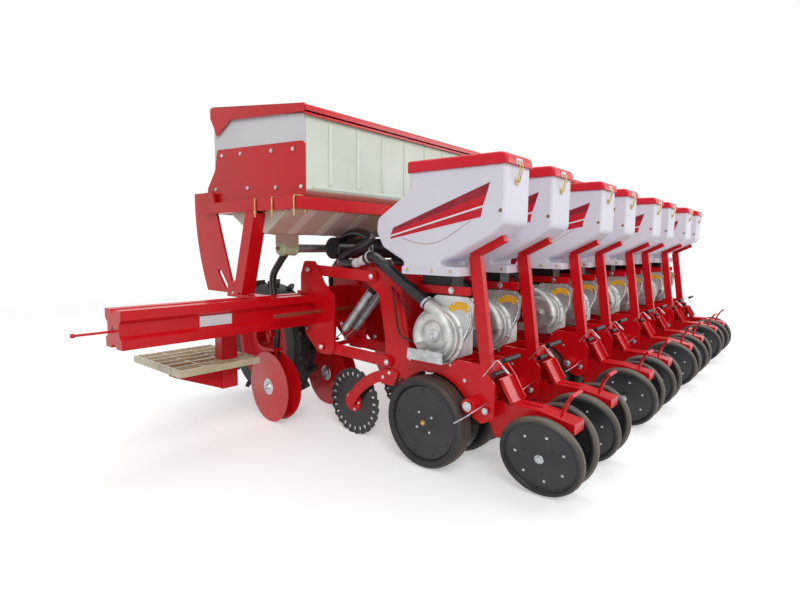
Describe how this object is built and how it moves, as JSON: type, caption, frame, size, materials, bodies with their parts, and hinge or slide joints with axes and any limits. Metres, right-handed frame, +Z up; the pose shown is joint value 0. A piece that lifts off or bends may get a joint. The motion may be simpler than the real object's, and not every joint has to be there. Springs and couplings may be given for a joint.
{
  "type": "pneumatic seeder",
  "caption": "Mounted air seeder: toolbar on gauge wheels with seed hoppers, suction meters, disc openers, V press wheels, a long fertiliser tank and a three-point hitch.",
  "frame": {"origin": "on the floor under the middle of the machine's outline", "axes": "+X to the machine's right along the toolbar, +Y forward to the tractor, +Z up"},
  "size_m": [5.48, 2.2765, 1.6063],
  "materials": {
    "red_paint": "glossy enamel",
    "lid_red": "smooth moulded lid",
    "white_plastic": "semi-gloss blow-moulded shell",
    "tank_plastic": "translucent greenish white",
    "pale_plastic": "pale green moulding",
    "cast_metal": "as-cast, slightly polished",
    "zinc_steel": "zinc plated",
    "disc_steel": "painted steel discs",
    "coulter_steel": "black paint, worn at the rim",
    "rubber_tyre": "black rubber, dusty brown at the edges",
    "black_hose": "ribbed black hose",
    "grating_steel": "galvanised, dusty"
  },
  "bodies": {
    "frame": {"toolbar": "red_paint", "row_brackets": "red_paint", "parallel_links": "red_paint", "row_frames": "red_paint", "press_arms": "red_paint", "seed_meters": "cast_metal", "seed_hoppers": "white_plastic", "springs": "zinc_steel", "opener_discs": "disc_steel", "fertiliser_shanks": "red_paint", "fertiliser_tank": "tank_plastic", "tank_frame": "red_paint", "fertiliser_metering": "pale_plastic", "hitch": "red_paint", "fan": "red_paint", "air_lines": "black_hose", "steps": "grating_steel"},
    "tank_lid": {"tank_lid": "lid_red"},
    "gauge_wheels_1": {"gauge_wheels_1": "rubber_tyre"},
    "coulter_1": {"coulter_1": "coulter_steel"},
    "hopper_lid_1": {"hopper_lid_1": "lid_red"},
    "press_wheel_1l": {"press_wheel_1l": "rubber_tyre"},
    "press_wheel_1r": {"press_wheel_1r": "rubber_tyre"},
    "gauge_wheels_2": {"gauge_wheels_2": "rubber_tyre"},
    "coulter_2": {"coulter_2": "coulter_steel"},
    "hopper_lid_2": {"hopper_lid_2": "lid_red"},
    "press_wheel_2l": {"press_wheel_2l": "rubber_tyre"},
    "press_wheel_2r": {"press_wheel_2r": "rubber_tyre"},
    "gauge_wheels_3": {"gauge_wheels_3": "rubber_tyre"},
    "coulter_3": {"coulter_3": "coulter_steel"},
    "hopper_lid_3": {"hopper_lid_3": "lid_red"},
    "press_wheel_3l": {"press_wheel_3l": "rubber_tyre"},
    "press_wheel_3r": {"press_wheel_3r": "rubber_tyre"},
    "gauge_wheels_4": {"gauge_wheels_4": "rubber_tyre"},
    "coulter_4": {"coulter_4": "coulter_steel"},
    "hopper_lid_4": {"hopper_lid_4": "lid_red"},
    "press_wheel_4l": {"press_wheel_4l": "rubber_tyre"},
    "press_wheel_4r": {"press_wheel_4r": "rubber_tyre"},
    "gauge_wheels_5": {"gauge_wheels_5": "rubber_tyre"},
    "coulter_5": {"coulter_5": "coulter_steel"},
    "hopper_lid_5": {"hopper_lid_5": "lid_red"},
    "press_wheel_5l": {"press_wheel_5l": "rubber_tyre"},
    "press_wheel_5r": {"press_wheel_5r": "rubber_tyre"},
    "gauge_wheels_6": {"gauge_wheels_6": "rubber_tyre"},
    "coulter_6": {"coulter_6": "coulter_steel"},
    "hopper_lid_6": {"hopper_lid_6": "lid_red"},
    "press_wheel_6l": {"press_wheel_6l": "rubber_tyre"},
    "press_wheel_6r": {"press_wheel_6r": "rubber_tyre"},
    "gauge_wheels_7": {"gauge_wheels_7": "rubber_tyre"},
    "coulter_7": {"coulter_7": "coulter_steel"},
    "hopper_lid_7": {"hopper_lid_7": "lid_red"},
    "press_wheel_7l": {"press_wheel_7l": "rubber_tyre"},
    "press_wheel_7r": {"press_wheel_7r": "rubber_tyre"},
    "gauge_wheels_8": {"gauge_wheels_8": "rubber_tyre"},
    "coulter_8": {"coulter_8": "coulter_steel"},
    "hopper_lid_8": {"hopper_lid_8": "lid_red"},
    "press_wheel_8l": {"press_wheel_8l": "rubber_tyre"},
    "press_wheel_8r": {"press_wheel_8r": "rubber_tyre"},
    "drive_wheel_l": {"drive_wheel_l": "rubber_tyre"},
    "drive_wheel_r": {"drive_wheel_r": "rubber_tyre"}
  },
  "joints": [
    {"name": "gauge_wheels_1_turn", "type": "hinge", "parent": "frame", "child": "gauge_wheels_1", "pos_m": [-1.7, -0.487, 0.195], "axis": [1, 0, 0], "continuous": true},
    {"name": "coulter_1_turn", "type": "hinge", "parent": "frame", "child": "coulter_1", "pos_m": [-1.772, 0.006, 0.166], "axis": [1, 0, 0], "continuous": true},
    {"name": "press_wheel_1l_turn", "type": "hinge", "parent": "frame", "child": "press_wheel_1l", "pos_m": [-1.778, -0.976, 0.16357], "axis": [-0.9739, -0.0681, -0.2164], "continuous": true},
    {"name": "press_wheel_1r_turn", "type": "hinge", "parent": "frame", "child": "press_wheel_1r", "pos_m": [-1.622, -0.976, 0.16357], "axis": [0.9739, -0.0681, -0.2164], "continuous": true},
    {"name": "hopper_lid_1_hinge", "type": "hinge", "parent": "frame", "child": "hopper_lid_1", "pos_m": [-1.785, -0.406, 1.222], "axis": [-1, 0, 0], "range_deg": [0, 100]},
    {"name": "gauge_wheels_2_turn", "type": "hinge", "parent": "frame", "child": "gauge_wheels_2", "pos_m": [-1.3, -0.487, 0.195], "axis": [1, 0, 0], "continuous": true},
    {"name": "coulter_2_turn", "type": "hinge", "parent": "frame", "child": "coulter_2", "pos_m": [-1.372, 0.006, 0.166], "axis": [1, 0, 0], "continuous": true},
    {"name": "press_wheel_2l_turn", "type": "hinge", "parent": "frame", "child": "press_wheel_2l", "pos_m": [-1.378, -0.976, 0.16357], "axis": [-0.9739, -0.0681, -0.2164], "continuous": true},
    {"name": "press_wheel_2r_turn", "type": "hinge", "parent": "frame", "child": "press_wheel_2r", "pos_m": [-1.222, -0.976, 0.16357], "axis": [0.9739, -0.0681, -0.2164], "continuous": true},
    {"name": "hopper_lid_2_hinge", "type": "hinge", "parent": "frame", "child": "hopper_lid_2", "pos_m": [-1.385, -0.406, 1.222], "axis": [-1, 0, 0], "range_deg": [0, 100]},
    {"name": "gauge_wheels_3_turn", "type": "hinge", "parent": "frame", "child": "gauge_wheels_3", "pos_m": [-0.7, -0.487, 0.195], "axis": [1, 0, 0], "continuous": true},
    {"name": "coulter_3_turn", "type": "hinge", "parent": "frame", "child": "coulter_3", "pos_m": [-0.772, 0.006, 0.166], "axis": [1, 0, 0], "continuous": true},
    {"name": "press_wheel_3l_turn", "type": "hinge", "parent": "frame", "child": "press_wheel_3l", "pos_m": [-0.778, -0.976, 0.16357], "axis": [-0.9739, -0.0681, -0.2164], "continuous": true},
    {"name": "press_wheel_3r_turn", "type": "hinge", "parent": "frame", "child": "press_wheel_3r", "pos_m": [-0.622, -0.976, 0.16357], "axis": [0.9739, -0.0681, -0.2164], "continuous": true},
    {"name": "hopper_lid_3_hinge", "type": "hinge", "parent": "frame", "child": "hopper_lid_3", "pos_m": [-0.785, -0.406, 1.222], "axis": [-1, 0, 0], "range_deg": [0, 100]},
    {"name": "gauge_wheels_4_turn", "type": "hinge", "parent": "frame", "child": "gauge_wheels_4", "pos_m": [-0.3, -0.487, 0.195], "axis": [1, 0, 0], "continuous": true},
    {"name": "coulter_4_turn", "type": "hinge", "parent": "frame", "child": "coulter_4", "pos_m": [-0.372, 0.006, 0.166], "axis": [1, 0, 0], "continuous": true},
    {"name": "press_wheel_4l_turn", "type": "hinge", "parent": "frame", "child": "press_wheel_4l", "pos_m": [-0.378, -0.976, 0.16357], "axis": [-0.9739, -0.0681, -0.2164], "continuous": true},
    {"name": "press_wheel_4r_turn", "type": "hinge", "parent": "frame", "child": "press_wheel_4r", "pos_m": [-0.222, -0.976, 0.16357], "axis": [0.9739, -0.0681, -0.2164], "continuous": true},
    {"name": "hopper_lid_4_hinge", "type": "hinge", "parent": "frame", "child": "hopper_lid_4", "pos_m": [-0.385, -0.406, 1.222], "axis": [-1, 0, 0], "range_deg": [0, 100]},
    {"name": "gauge_wheels_5_turn", "type": "hinge", "parent": "frame", "child": "gauge_wheels_5", "pos_m": [0.3, -0.487, 0.195], "axis": [1, 0, 0], "continuous": true},
    {"name": "coulter_5_turn", "type": "hinge", "parent": "frame", "child": "coulter_5", "pos_m": [0.228, 0.006, 0.166], "axis": [1, 0, 0], "continuous": true},
    {"name": "press_wheel_5l_turn", "type": "hinge", "parent": "frame", "child": "press_wheel_5l", "pos_m": [0.222, -0.976, 0.16357], "axis": [-0.9739, -0.0681, -0.2164], "continuous": true},
    {"name": "press_wheel_5r_turn", "type": "hinge", "parent": "frame", "child": "press_wheel_5r", "pos_m": [0.378, -0.976, 0.16357], "axis": [0.9739, -0.0681, -0.2164], "continuous": true},
    {"name": "hopper_lid_5_hinge", "type": "hinge", "parent": "frame", "child": "hopper_lid_5", "pos_m": [0.215, -0.406, 1.222], "axis": [-1, 0, 0], "range_deg": [0, 100]},
    {"name": "gauge_wheels_6_turn", "type": "hinge", "parent": "frame", "child": "gauge_wheels_6", "pos_m": [0.7, -0.487, 0.195], "axis": [1, 0, 0], "continuous": true},
    {"name": "coulter_6_turn", "type": "hinge", "parent": "frame", "child": "coulter_6", "pos_m": [0.628, 0.006, 0.166], "axis": [1, 0, 0], "continuous": true},
    {"name": "press_wheel_6l_turn", "type": "hinge", "parent": "frame", "child": "press_wheel_6l", "pos_m": [0.622, -0.976, 0.16357], "axis": [-0.9739, -0.0681, -0.2164], "continuous": true},
    {"name": "press_wheel_6r_turn", "type": "hinge", "parent": "frame", "child": "press_wheel_6r", "pos_m": [0.778, -0.976, 0.16357], "axis": [0.9739, -0.0681, -0.2164], "continuous": true},
    {"name": "hopper_lid_6_hinge", "type": "hinge", "parent": "frame", "child": "hopper_lid_6", "pos_m": [0.615, -0.406, 1.222], "axis": [-1, 0, 0], "range_deg": [0, 100]},
    {"name": "gauge_wheels_7_turn", "type": "hinge", "parent": "frame", "child": "gauge_wheels_7", "pos_m": [1.3, -0.487, 0.195], "axis": [1, 0, 0], "continuous": true},
    {"name": "coulter_7_turn", "type": "hinge", "parent": "frame", "child": "coulter_7", "pos_m": [1.228, 0.006, 0.166], "axis": [1, 0, 0], "continuous": true},
    {"name": "press_wheel_7l_turn", "type": "hinge", "parent": "frame", "child": "press_wheel_7l", "pos_m": [1.222, -0.976, 0.16357], "axis": [-0.9739, -0.0681, -0.2164], "continuous": true},
    {"name": "press_wheel_7r_turn", "type": "hinge", "parent": "frame", "child": "press_wheel_7r", "pos_m": [1.378, -0.976, 0.16357], "axis": [0.9739, -0.0681, -0.2164], "continuous": true},
    {"name": "hopper_lid_7_hinge", "type": "hinge", "parent": "frame", "child": "hopper_lid_7", "pos_m": [1.215, -0.406, 1.222], "axis": [-1, 0, 0], "range_deg": [0, 100]},
    {"name": "gauge_wheels_8_turn", "type": "hinge", "parent": "frame", "child": "gauge_wheels_8", "pos_m": [1.7, -0.487, 0.195], "axis": [1, 0, 0], "continuous": true},
    {"name": "coulter_8_turn", "type": "hinge", "parent": "frame", "child": "coulter_8", "pos_m": [1.628, 0.006, 0.166], "axis": [1, 0, 0], "continuous": true},
    {"name": "press_wheel_8l_turn", "type": "hinge", "parent": "frame", "child": "press_wheel_8l", "pos_m": [1.622, -0.976, 0.16357], "axis": [-0.9739, -0.0681, -0.2164], "continuous": true},
    {"name": "press_wheel_8r_turn", "type": "hinge", "parent": "frame", "child": "press_wheel_8r", "pos_m": [1.778, -0.976, 0.16357], "axis": [0.9739, -0.0681, -0.2164], "continuous": true},
    {"name": "hopper_lid_8_hinge", "type": "hinge", "parent": "frame", "child": "hopper_lid_8", "pos_m": [1.615, -0.406, 1.222], "axis": [-1, 0, 0], "range_deg": [0, 100]},
    {"name": "drive_wheel_l_turn", "type": "hinge", "parent": "frame", "child": "drive_wheel_l", "pos_m": [-1.7, 0.776, 0.362], "axis": [1, 0, 0], "continuous": true},
    {"name": "drive_wheel_r_turn", "type": "hinge", "parent": "frame", "child": "drive_wheel_r", "pos_m": [1.7, 0.776, 0.362], "axis": [1, 0, 0], "continuous": true},
    {"name": "tank_lid_hinge", "type": "hinge", "parent": "frame", "child": "tank_lid", "pos_m": [0, 0.707, 1.57383], "axis": [-1, 0, 0], "range_deg": [0, 95]}
  ]
}
